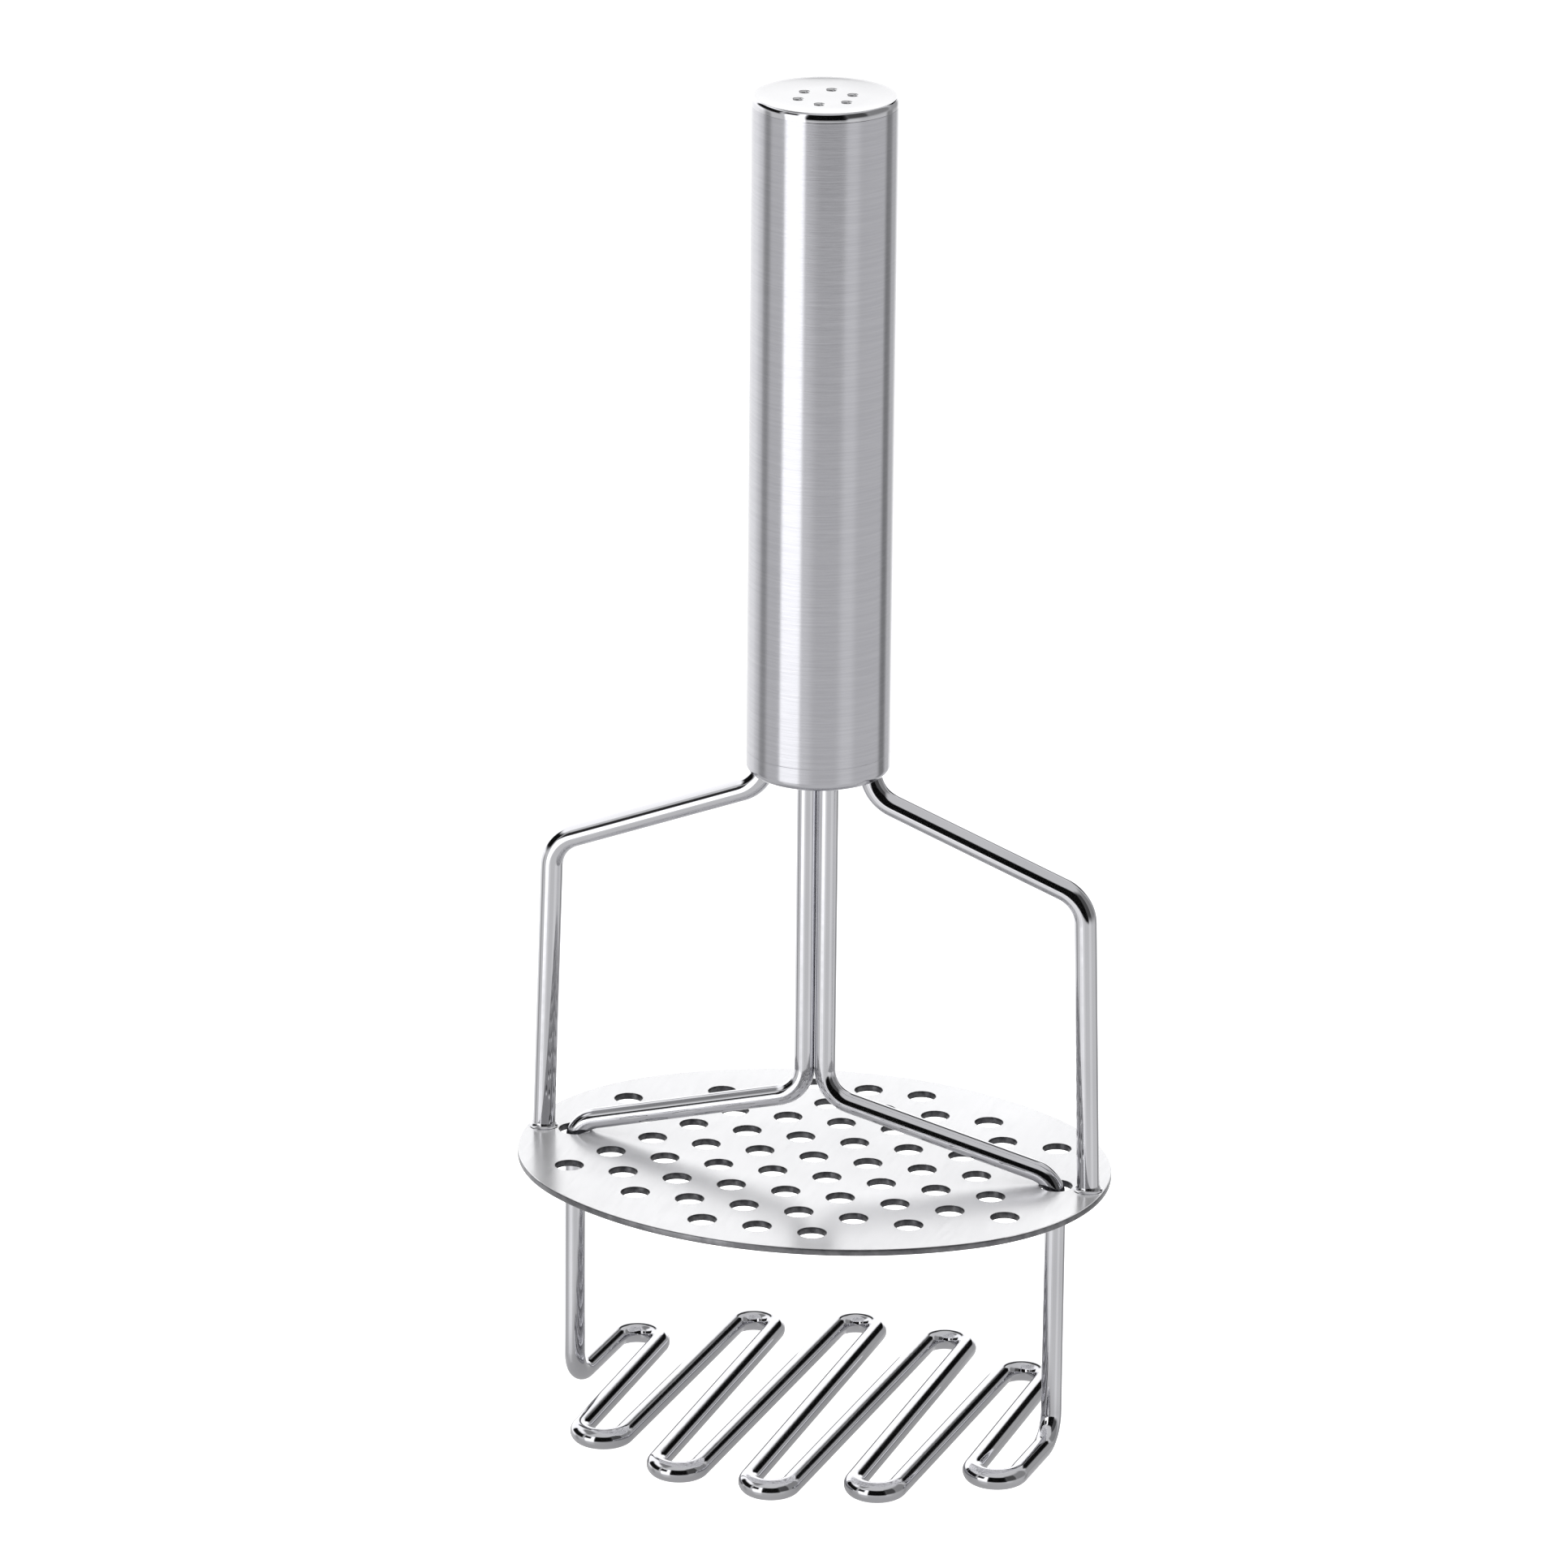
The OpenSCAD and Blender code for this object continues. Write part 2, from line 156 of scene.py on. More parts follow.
studioSettings = {
    "sky": 0.78,
    "floor": 0.76,
    "horizon softness": 8,
    # azimuth, half width, lowest, highest, softness of the sides and of the levels, all in degrees,
    # and brightness; a later panel lies over the ones before it
    "panels": {
        "back floor": (196, 24, -38, -12, 20, 12, 1.5),
        "left floor": (-128, 22, -36, -10, 20, 12, 1.15),
        "left floor line": (-85, 8, -30, -6, 10, 10, 0.42),
        "right floor glow": (60, 12, -30, -8, 14, 10, 0.92),
        "right floor line": (137, 9, -30, -8, 10, 10, 0.3),
        "back tent": (-142, 50, -12, 46, 16, 22, 1.55),
        "back sky": (-164, 24, 29.5, 54, 12, 5, 0.06),
        "left sky": (-86, 42, 46, 74, 20, 12, 0.3),
        "left tent": (-100, 30, 34, 49, 16, 9, 1.5),
        "front card": (19, 33, -10.5, 41, 9, 10, 0.003),
        "front card foot": (18, 32, -13.5, 6, 6, 4, 0.003),
        "left card": (-86, 29, 1, 32, 8, 10, 0.006),
        "right screen": (68, 20, -8, 46, 12, 16, 0.09),
        "far right screen": (110, 24, -8, 46, 12, 16, 0.32),
        "back right screen": (149, 14, -14, 16, 12, 12, 0.46),
        "back right card": (163, 16, 13, 31, 9, 6, 0.003),
        "strip tail": (-14, 16, -22, -14, 20, 4, 1.0),
        "strip": (-31.5, 16.5, -22, 36, 6, 8, 2.1),
        "strip patch": (-39, 13, 11, 34, 8, 8, 0.03),
        "strip foot": (-31.5, 15, -45, -20, 8, 2.5, 1.1),
    },
}


def makeStudio(s):
    panelGroup = makePanelGroup()
    world = bpy.data.worlds.new("studio")
    world.use_nodes = True
    tree = world.node_tree
    tree.nodes.clear()
    place = addNode(tree, "ShaderNodeTexCoord")
    split = addNode(tree, "ShaderNodeSeparateXYZ")
    tree.links.new(place.outputs["Generated"], split.inputs[0])
    x, y, z = split.outputs
    azimuth = mathNode(tree, "DEGREES", mathNode(tree, "ARCTAN2", x, mathNode(tree, "MULTIPLY", y, -1.0)))
    elevation = mathNode(tree, "DEGREES", mathNode(tree, "ARCSINE", z))
    share = mathNode(tree, "DIVIDE", elevation, s["horizon softness"])
    above = mathNode(tree, "ADD", share, 0.5, clamp=True)
    tone = mathNode(tree, "MULTIPLY_ADD", above, s["sky"] - s["floor"], s["floor"])
    for name, (centre, half, low, high, sideEdge, levelEdge, brightness) in s["panels"].items():
        panel = addNode(tree, "ShaderNodeGroup", node_tree=panelGroup, label=name, Centre=centre,
                        Half_Width=half, Low=low, High=high, Side_Edge=sideEdge, Level_Edge=levelEdge)
        tree.links.new(azimuth, panel.inputs["Azimuth"])
        tree.links.new(elevation, panel.inputs["Elevation"])
        blend = addNode(tree, "ShaderNodeMix", data_type="FLOAT")
        blend.inputs["B"].default_value = brightness
        tree.links.new(panel.outputs["Mask"], blend.inputs["Factor"])
        tree.links.new(tone, blend.inputs["A"])
        tone = blend.outputs["Result"]
    mirrored = addNode(tree, "ShaderNodeBackground")
    tree.links.new(tone, mirrored.inputs["Color"])
    plain = addNode(tree, "ShaderNodeBackground", Color=(1, 1, 1, 1), Strength=1.0)
    rays = addNode(tree, "ShaderNodeLightPath")
    mixed = addNode(tree, "ShaderNodeMixShader")
    tree.links.new(rays.outputs["Is Glossy Ray"], mixed.inputs[0])
    tree.links.new(plain.outputs[0], mixed.inputs[1])
    tree.links.new(mirrored.outputs[0], mixed.inputs[2])
    tree.links.new(mixed.outputs[0], addNode(tree, "ShaderNodeOutputWorld").inputs["Surface"])
    scene.world = world


floorSettings = {"radius": 6, "sides": 96, "grey": 0.9, "rough": 0.9, "brightness": 0.93}


def makeFloor(s):
    bm = bmesh.new()
    bmesh.ops.create_circle(bm, cap_ends=True, radius=s["radius"], segments=s["sides"])
    mesh = bpy.data.meshes.new("studioFloor")
    bm.to_mesh(mesh)
    bm.free()
    material = bpy.data.materials.new("studioFloor")
    material.use_nodes = True
    tree = material.node_tree
    shader = tree.nodes["Principled BSDF"]
    shader.inputs["Base Color"].default_value = (s["grey"], s["grey"], s["grey"], 1)
    shader.inputs["Roughness"].default_value = s["rough"]
    shader.inputs["Specular IOR Level"].default_value = 0
    shader.inputs["Emission Color"].default_value = (1, 1, 1, 1)
    shader.inputs["Emission Strength"].default_value = s["brightness"]
    mesh.materials.append(material)
    floorObject = bpy.data.objects.new("studioFloor", mesh)
    scene.collection.objects.link(floorObject)
    floorObject.visible_glossy = False
    floorObject.visible_shadow = False


floorShadeSettings = {
    "half length": 78 * mm,
    "half width": 64 * mm,
    "sides": 64,
    "drop": 0.5 * mm,
    "core share": 0.4,
    "brightness": 0.42,
}


def makeFloorShade(s):
    # the table just under the masher is in its shade, which only the steel's reflections show
    bm = bmesh.new()
    bmesh.ops.create_circle(bm, cap_ends=True, radius=1, segments=s["sides"])
    bmesh.ops.scale(bm, verts=bm.verts, vec=(s["half length"], s["half width"], 1))
    bmesh.ops.translate(bm, verts=bm.verts, vec=-up * s["drop"])
    mesh = bpy.data.meshes.new("floorShade")
    bm.to_mesh(mesh)
    bm.free()
    material = bpy.data.materials.new("floorShade")
    material.use_nodes = True
    tree = material.node_tree
    tree.nodes.clear()
    place = addNode(tree, "ShaderNodeTexCoord")
    share = addNode(tree, "ShaderNodeMapping", vector_type="POINT")
    share.inputs["Scale"].default_value = (1 / s["half length"], 1 / s["half width"], 0)
    tree.links.new(place.outputs["Object"], share.inputs["Vector"])
    reach = addNode(tree, "ShaderNodeVectorMath", operation="LENGTH")
    tree.links.new(share.outputs[0], reach.inputs[0])
    fade = addNode(tree, "ShaderNodeMapRange", interpolation_type="SMOOTHSTEP")
    fade.inputs["From Min"].default_value = s["core share"]
    tree.links.new(reach.outputs["Value"], fade.inputs["Value"])
    shade = addNode(tree, "ShaderNodeEmission", Strength=s["brightness"])
    clear = addNode(tree, "ShaderNodeBsdfTransparent")
    mixed = addNode(tree, "ShaderNodeMixShader")
    tree.links.new(fade.outputs[0], mixed.inputs[0])
    tree.links.new(shade.outputs[0], mixed.inputs[1])
    tree.links.new(clear.outputs[0], mixed.inputs[2])
    tree.links.new(mixed.outputs[0], addNode(tree, "ShaderNodeOutputMaterial").inputs["Surface"])
    mesh.materials.append(material)
    shadeObject = bpy.data.objects.new("floorShade", mesh)
    scene.collection.objects.link(shadeObject)
    shadeObject.visible_camera = False
    shadeObject.visible_diffuse = False
    shadeObject.visible_shadow = False


makeStudio(studioSettings)
makeFloor(floorSettings)
makeFloorShade(floorShadeSettings)
print("studio lit")


# Shared surface effects. They put out a colour, a roughness and a normal.
grainSettings = {"detail": 3.0, "roughness": 0.65, "noise low": 0.3, "noise high": 0.7}
toneSettings = {"detail": 2.0, "noise low": 0.35, "noise high": 0.65}


def stretchedNoise(group, given, **values):
    place = addNode(group, "ShaderNodeTexCoord")
    stretch = addNode(group, "ShaderNodeVectorMath", operation="MULTIPLY")
    group.links.new(place.outputs["Object"], stretch.inputs[0])
    group.links.new(given["Stretch"], stretch.inputs[1])
    noise = addNode(group, "ShaderNodeTexNoise", **values)
    group.links.new(stretch.outputs[0], noise.inputs["Vector"])
    group.links.new(given["Scale"], noise.inputs["Scale"])
    return noise.outputs[0]


def noiseBetween(group, s, noise, low, high):
    spread = addNode(group, "ShaderNodeMapRange")
    spread.inputs["From Min"].default_value = s["noise low"]
    spread.inputs["From Max"].default_value = s["noise high"]
    group.links.new(noise, spread.inputs["Value"])
    group.links.new(low, spread.inputs["To Min"])
    group.links.new(high, spread.inputs["To Max"])
    return spread.outputs[0]


def makeGrainGroup(s):
    group, given, result = newGroup(
        "steelGrain",
        [("Stretch", (1.0, 1.0, 1.0)), ("Scale", 1000.0), ("Depth", 0.2), ("Distance", 0.00002),
         ("Low Rough", 0.1), ("High Rough", 0.3)],
        [("Roughness", "NodeSocketFloat"), ("Normal", "NodeSocketVector")])
    lines = stretchedNoise(group, given, Detail=s["detail"], Roughness=s["roughness"])
    rough = noiseBetween(group, s, lines, given["Low Rough"], given["High Rough"])
    bump = addNode(group, "ShaderNodeBump")
    group.links.new(given["Depth"], bump.inputs["Strength"])
    group.links.new(given["Distance"], bump.inputs["Distance"])
    group.links.new(lines, bump.inputs["Height"])
    group.links.new(rough, result["Roughness"])
    group.links.new(bump.outputs[0], result["Normal"])
    return group


def makeToneGroup(s):
    group, given, result = newGroup(
        "steelTone",
        [("Stretch", (1.0, 1.0, 1.0)), ("Scale", 60.0), ("Dark", 0.7), ("Light", 0.8), ("Tint", 0.01)],
        [("Color", "NodeSocketColor")])
    cloud = stretchedNoise(group, given, Detail=s["detail"])
    grey = noiseBetween(group, s, cloud, given["Dark"], given["Light"])
    colour = addNode(group, "ShaderNodeCombineColor")
    group.links.new(grey, colour.inputs["Red"])
    group.links.new(grey, colour.inputs["Green"])
    group.links.new(mathNode(group, "ADD", grey, given["Tint"]), colour.inputs["Blue"])
    group.links.new(colour.outputs[0], result["Color"])
    return group


grainGroup = makeGrainGroup(grainSettings)
toneGroup = makeToneGroup(toneSettings)


def makeSurface(name, tone, grain, **fixed):
    material = bpy.data.materials.new(name)
    material.use_nodes = True
    tree = material.node_tree
    shader = tree.nodes["Principled BSDF"]
    shader.inputs["Metallic"].default_value = 1
    for label, value in fixed.items():
        shader.inputs[label.replace("_", " ")].default_value = value
    colour = addNode(tree, "ShaderNodeGroup", node_tree=toneGroup, **tone)
    surface = addNode(tree, "ShaderNodeGroup", node_tree=grainGroup, **grain)
    tree.links.new(colour.outputs["Color"], shader.inputs["Base Color"])
    tree.links.new(surface.outputs["Roughness"], shader.inputs["Roughness"])
    tree.links.new(surface.outputs["Normal"], shader.inputs["Normal"])
    return material


plasticSettings = {
    "tone scale": 300.0,
    "grain scale": 2500.0,
    "depth": 0.3,
    "rough spread": 0.08,
    "ior": 1.49,
}


def makePlastic(name, dark, light, rough, s):
    return makeSurface(
        name, {"Scale": s["tone scale"], "Dark": dark, "Light": light, "Tint": 0.0},
        {"Scale": s["grain scale"], "Depth": s["depth"], "Low_Rough": rough - s["rough spread"],
         "High_Rough": rough + s["rough spread"]}, Metallic=0, IOR=s["ior"])


aroundTube = (0.03, 0.03, 1.0)  # stretches a pattern round the handle's axis
finishes = {
    "polished_wire": makeSurface(
        "polishedWire", {"Scale": 45.0, "Dark": 0.6, "Light": 0.64, "Tint": 0.025},
        {"Scale": 90.0, "Depth": 0.05, "Distance": 0.0004, "Low_Rough": 0.05, "High_Rough": 0.09}),
    "brushed_tube": makeSurface(
        "brushedTube", {"Stretch": aroundTube, "Scale": 2600.0, "Dark": 0.498, "Light": 0.53, "Tint": 0.03},
        {"Stretch": aroundTube, "Scale": 7000.0, "Depth": 0.16, "Distance": 0.00002,
         "Low_Rough": 0.1, "High_Rough": 0.18}),
    "polished_cap": makeSurface(
        "polishedCap", {"Scale": 60.0, "Dark": 0.53, "Light": 0.58, "Tint": 0.012},
        {"Scale": 160.0, "Depth": 0.06, "Distance": 0.0002, "Low_Rough": 0.1, "High_Rough": 0.16},
        Metallic=0.78),
    "plate_steel": makeSurface(
        "plateSteel", {"Scale": 35.0, "Dark": 0.72, "Light": 0.78, "Tint": 0.015},
        {"Stretch": (1.0, 0.06, 1.0), "Scale": 2400.0, "Depth": 0.03, "Distance": 0.00002,
         "Low_Rough": 0.2, "High_Rough": 0.27}, Metallic=0.54),
    "weld_steel": makeSurface(
        "weldSteel", {"Scale": 300.0, "Dark": 0.5, "Light": 0.62, "Tint": 0.02},
        {"Scale": 600.0, "Depth": 0.2, "Distance": 0.0001, "Low_Rough": 0.12, "High_Rough": 0.22}),
    "plain_steel": makeSurface(
        "plainSteel", {"Scale": 120.0, "Dark": 0.42, "Light": 0.5, "Tint": 0.01},
        {"Scale": 1500.0, "Depth": 0.2, "Low_Rough": 0.3, "High_Rough": 0.45}),
    "spring_steel": makeSurface(
        "springSteel", {"Scale": 200.0, "Dark": 0.3, "Light": 0.4, "Tint": 0.02},
        {"Scale": 700.0, "Depth": 0.2, "Low_Rough": 0.25, "High_Rough": 0.4}),
    "guide_plastic": makePlastic("guidePlastic", 0.78, 0.84, 0.45, plasticSettings),
    "seat_plastic": makePlastic("seatPlastic", 0.015, 0.03, 0.4, plasticSettings),
}
# hole walls: rough punched steel whose colour is darkened to near black, painted shade for the shaded table
# under the plate seen through the holes
punchedWallShade = makeSurface(
    "punchedWallShade", {"Scale": 900.0, "Dark": 0.06, "Light": 0.13, "Tint": 0.006},
    {"Stretch": (1.0, 1.0, 0.1), "Scale": 3000.0, "Depth": 0.3, "Low_Rough": 0.25, "High_Rough": 0.4})
# outer wall of the plate: rough cut steel whose colour is darkened as painted shade, giving a dark line
# round the plate
cutRimShade = makeSurface(
    "cutRimShade", {"Scale": 500.0, "Dark": 0.16, "Light": 0.24, "Tint": 0.01},
    {"Stretch": (1.0, 1.0, 0.1), "Scale": 2000.0, "Depth": 0.2, "Low_Rough": 0.3, "High_Rough": 0.4})
print("finishes mixed:", len(finishes))


# Mesh helpers
meshSettings = {
    "merge": 0.001 * mm,
    "flat cosine": 0.999,
    "sharp edge": radians(40),
    "bend ring": 0.3 * mm,
}


def finishPiece(name, bm, slotName, body, nodes, flatNormal=None):
    bmesh.ops.remove_doubles(bm, verts=bm.verts, dist=meshSettings["merge"])
    bmesh.ops.recalc_face_normals(bm, faces=bm.faces)
    for face in bm.faces:
        face.smooth = flatNormal is None or abs(face.normal.dot(flatNormal)) < meshSettings["flat cosine"]
    for edge in bm.edges:
        edge.smooth = edge.calc_face_angle(0) < meshSettings["sharp edge"]
    mesh = bpy.data.meshes.new(name)
    bm.to_mesh(mesh)
    bm.free()
    mesh.materials.append(finishes[slotName])
    piece = bpy.data.objects.new(name, mesh)
    scene.collection.objects.link(piece)
    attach(piece, body)
    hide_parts(*nodes)
    print(name, "built,", len(mesh.polygons), "faces")
    return piece


def only(geom, kind):
    return [item for item in geom if isinstance(item, kind)]


def startWire(place, heading, radius, sides):
    bm = bmesh.new()
    turn = heading.to_track_quat("Z", "Y").to_matrix().to_4x4()
    bmesh.ops.create_circle(bm, cap_ends=True, radius=radius, segments=sides,
                            matrix=Matrix.Translation(place) @ turn)
    return {"bm": bm, "rim": bm.edges[:], "at": place.copy(), "heading": heading.normalized()}


def runStraight(wire, length):
    # a short ring at each end keeps the bends out of the straight's shading
    ring = min(meshSettings["bend ring"], length / 4)
    for step in (ring, length - 2 * ring, ring):
        made = bmesh.ops.extrude_edge_only(wire["bm"], edges=wire["rim"])["geom"]
        bmesh.ops.translate(wire["bm"], verts=only(made, bmesh.types.BMVert), vec=wire["heading"] * step)
        wire["rim"] = rimOf(made)
        wire["at"] += wire["heading"] * step


def rimOf(made):
    # of the new edges, the ones that only one face has are the open rim
    return [edge for edge in only(made, bmesh.types.BMEdge) if len(edge.link_faces) == 1]


def runBend(wire, radius, angle, axis, stepAngle):
    centre = wire["at"] + axis.cross(wire["heading"]) * radius
    made = bmesh.ops.spin(wire["bm"], geom=wire["rim"], cent=centre, axis=axis, angle=angle,
                          steps=ceil(angle / stepAngle))["geom_last"]
    wire["rim"] = only(made, bmesh.types.BMEdge)
    turn = Matrix.Rotation(angle, 3, axis)
    wire["at"] = centre + turn @ (wire["at"] - centre)
    wire["heading"] = turn @ wire["heading"]


def endWire(wire):
    bmesh.ops.contextual_create(wire["bm"], geom=wire["rim"])
    return wire["bm"]


# Inner wire: one bent wire from the right stem down into the wave and up into the left stem
innerWireSettings = {
    "sides": 36,
    "step": radians(6),
    "arm rise": 1.5 * mm,
    "arm slope": radians(14.1),
    "arm bend": 5 * mm,
    "stem bend": 6 * mm,
    "foot bend": 5.2 * mm,
    "runs": 11,
    "lean": radians(4),
    "taper": radians(2.05),
    "loop inset": 6.8 * mm,
    "wave shift": 1.6 * mm,
    # how far the loops lie out, from the middle of the wave outwards
    "loop shares": (0.98, 0.91, 0.85, 0.63, 0.51),
}


def makeInnerWire(s):
    low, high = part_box("stem_wire_right")
    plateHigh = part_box("masher_plate")[1]
    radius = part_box("wave_wire")[1].z / 2
    legX = high.x - radius
    stemX = low.x + radius
    cornerZ = plateHigh.z + s["arm rise"]
    armTurn = pi / 2 - s["arm slope"]
    armCut = s["arm bend"] * tan(armTurn / 2)
    stemCut = s["stem bend"] * tan(armTurn / 2)
    stemLength = high.z - cornerZ - (legX - stemX) * tan(s["arm slope"]) - stemCut
    armLength = (legX - stemX) / cos(s["arm slope"]) - armCut - stemCut
    legLength = cornerZ - armCut - radius - s["foot bend"]
    pitch = 2 * legX / (s["runs"] - 1)
    reach = plateHigh.y - s["loop inset"]

    def runLean(i):
        return s["lean"] - i % 2 * s["taper"]

    def runDirection(i):
        return Vector((sin(runLean(i)), cos(runLean(i)), 0))

    def runPlace(i, y):
        return i * pitch - legX + y * tan(runLean(i))

    def loopCentre(i):
        share = s["loop shares"][int(abs(i - (s["runs"] - 2) / 2))]
        y = s["wave shift"] + (-1) ** i * reach * share
        a, b = cos(runLean(i)), cos(runLean(i + 1))
        return Vector(((a * runPlace(i, y) + b * runPlace(i + 1, y)) / (a + b), y, 0))

    wire = startWire(Vector((stemX, 0, high.z)), -up, radius, s["sides"])
    runStraight(wire, stemLength)
    runBend(wire, s["stem bend"], armTurn, -inDepth, s["step"])
    runStraight(wire, armLength)
    runBend(wire, s["arm bend"], armTurn, inDepth, s["step"])
    runStraight(wire, legLength)
    last = s["runs"] - 1
    runBend(wire, s["foot bend"], pi / 2, up.cross(runDirection(last)), s["step"])
    before = Vector((legX, 0, 0))
    for i in reversed(range(last)):
        centre = loopCentre(i)
        length = abs((centre - before).dot(runDirection(i + 1)))
        runStraight(wire, length - (s["foot bend"] if i == last - 1 else 0))
        loopRadius = (centre.x - runPlace(i, centre.y)) * cos(runLean(i))
        runBend(wire, loopRadius, pi - s["taper"], up * (-1) ** i, s["step"])
        before = centre
    runStraight(wire, (before + Vector((legX, 0, 0))).dot(runDirection(0)) - s["foot bend"])
    runBend(wire, s["foot bend"], pi / 2, up.cross(runDirection(0)), s["step"])
    runStraight(wire, legLength)
    runBend(wire, s["arm bend"], armTurn, inDepth, s["step"])
    runStraight(wire, armLength)
    runBend(wire, s["stem bend"], armTurn, -inDepth, s["step"])
    runStraight(wire, stemLength)
    print("inner wire ends at", [round(value / mm, 3) for value in wire["at"]])
    return finishPiece("innerWire", endWire(wire), "polished_wire", "masher",
                       ["wave_wire", "stem_wire_left", "stem_wire_right"])


# Outer wires, from the anchor disc in the handle to the plate
frameWireSettings = {
    "sides": 36,
    "step": radians(5),
    "shoulder drop": 3.6 * mm,
    "shoulder slope": radians(21.15),
    "leg splay": radians(1.65),
    "upper bend": 6.7 * mm,
    "shoulder bend": 6.5 * mm,
    "spare": 1 * mm,
}


def makeFrameWire(s, name, node, side):
    low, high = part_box("frame_wire_right")
    radius = high.y
    topX = low.x + radius
    footX = high.x - radius / cos(s["leg splay"])
    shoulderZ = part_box("bottom_cap")[0].z - s["shoulder drop"]
    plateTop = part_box("masher_plate")[1].z
    slope, splay = s["shoulder slope"], s["leg splay"]
    shoulder = (footX - (shoulderZ - plateTop) * tan(splay) - topX) / (cos(slope) - sin(slope) * tan(splay))
    kneeZ = shoulderZ - shoulder * sin(slope)
    upperTurn = pi / 2 - slope
    kneeTurn = upperTurn - splay
    upperCut = s["upper bend"] * tan(upperTurn / 2)
    kneeCut = s["shoulder bend"] * tan(kneeTurn / 2)
    wire = startWire(Vector((topX, 0, high.z)), -up, radius, s["sides"])
    runStraight(wire, high.z - shoulderZ - upperCut)
    runBend(wire, s["upper bend"], upperTurn, -inDepth, s["step"])
    runStraight(wire, shoulder - upperCut - kneeCut)
    runBend(wire, s["shoulder bend"], kneeTurn, inDepth, s["step"])
    runStraight(wire, (kneeZ - plateTop + s["spare"]) / cos(splay) - kneeCut)
    bm = endWire(wire)
    cut = bmesh.ops.bisect_plane(bm, geom=bm.verts[:] + bm.edges[:] + bm.faces[:], clear_inner=True,
                                 plane_co=(0, 0, plateTop), plane_no=up)["geom_cut"]
    bmesh.ops.contextual_create(bm, geom=only(cut, bmesh.types.BMEdge))
    if side < 0:
        bmesh.ops.rotate(bm, verts=bm.verts, cent=(0, 0, 0), matrix=Matrix.Rotation(pi, 3, "Z"))
    return finishPiece(name, bm, "polished_wire", "press", [node])


# Plate: flat sheet with lightly rounded rims round its outline and every hole
plateSettings = {
    "arc step": radians(1.5),
    "rim round": 0.22 * mm,
    "hole round": 0.12 * mm,
    "hole sides": 28,
    "hole": 5 * mm,
    "pitch": 10 * mm,
    "rim": 4.8 * mm,
    "guide hole": 5.8 * mm,
    "guide web": 1.2 * mm,
    "outline triangle": (3, 4, 5),
    # a face whose normal rises less than this belongs to a wall
    "steep": 0.8,
    # how much of its rounding a rim moves out and down in each step
    "round shares": ((0.38, 0.08), (0.32, 0.22), (0.22, 0.32), (0.08, 0.38)),
}


def stepLoop(bm, loop, centre, scale, drop):
    made = bmesh.ops.extrude_edge_only(bm, edges=loop)["geom"]
    verts = only(made, bmesh.types.BMVert)
    bmesh.ops.scale(bm, verts=verts, vec=(scale, scale, 1), space=Matrix.Translation(-centre))
    bmesh.ops.translate(bm, verts=verts, vec=-up * drop)
    return rimOf(made)


def wallDown(bm, loop, centre, radius, rounding, thickness, shares):
    # a rounded lip, the straight wall and a rounded lip again; rounding is negative for a hole
    depth = abs(rounding)
    for out, down in shares:
        loop = stepLoop(bm, loop, centre, (radius + out * rounding) / radius, down * depth)
        radius += out * rounding
    loop = stepLoop(bm, loop, centre, 1, thickness - 2 * depth)
    for out, down in shares[::-1]:
        loop = stepLoop(bm, loop, centre, (radius - out * rounding) / radius, down * depth)
        radius -= out * rounding
    return loop


def circleEdges(bm, centre, radius, sides):
    verts = bmesh.ops.create_circle(bm, radius=radius, segments=sides,
                                    matrix=Matrix.Translation(centre))["verts"]
    return list({edge for vert in verts for edge in vert.link_edges})


def ovalEdges(bm, s, length, width, z):
    # four arcs whose centres lie on right triangles of these sides
    short, long, slant = s["outline triangle"]
    step = (length - width) / 2 / (short + long - slant)
    endX = short * step
    endRadius = length / 2 - endX
    sideY = long * step
    corner = atan2(long, short)
    start = bm.verts.new((endX + endRadius * cos(corner), -endRadius * sin(corner), z))
    tip = [start]
    for centreX, centreY, angle in ((endX, 0, 2 * corner), (0, -sideY, pi - 2 * corner),
                                    (-endX, 0, 2 * corner), (0, sideY, pi - 2 * corner)):
        made = bmesh.ops.spin(bm, geom=tip, cent=(centreX, centreY, 0), axis=up, angle=angle,
                              steps=ceil(angle / s["arc step"]))["geom_last"]
        tip = only(made, bmesh.types.BMVert)
    bmesh.ops.remove_doubles(bm, verts=bm.verts, dist=meshSettings["merge"])
    return bm.edges[:]


def plateHoles(s, length, width, legX):
    rowPitch = s["pitch"] * sin(pi / 3)
    inset = s["rim"] + s["hole"] / 2
    clear = (s["guide hole"] + s["hole"]) / 2 + s["guide web"]
    rows = ceil(width / 2 / rowPitch)
    columns = ceil(length / 2 / s["pitch"])
    for row in range(-rows, rows + 1):
        for column in range(-columns, columns + 1):
            x = (column + row % 2 / 2) * s["pitch"]
            y = row * rowPitch
            inPlate = hypot(x / (length / 2 - inset), y / (width / 2 - inset)) <= 1
            if inPlate and hypot(abs(x) - legX, y) >= clear:
                yield Vector((x, y, 0))


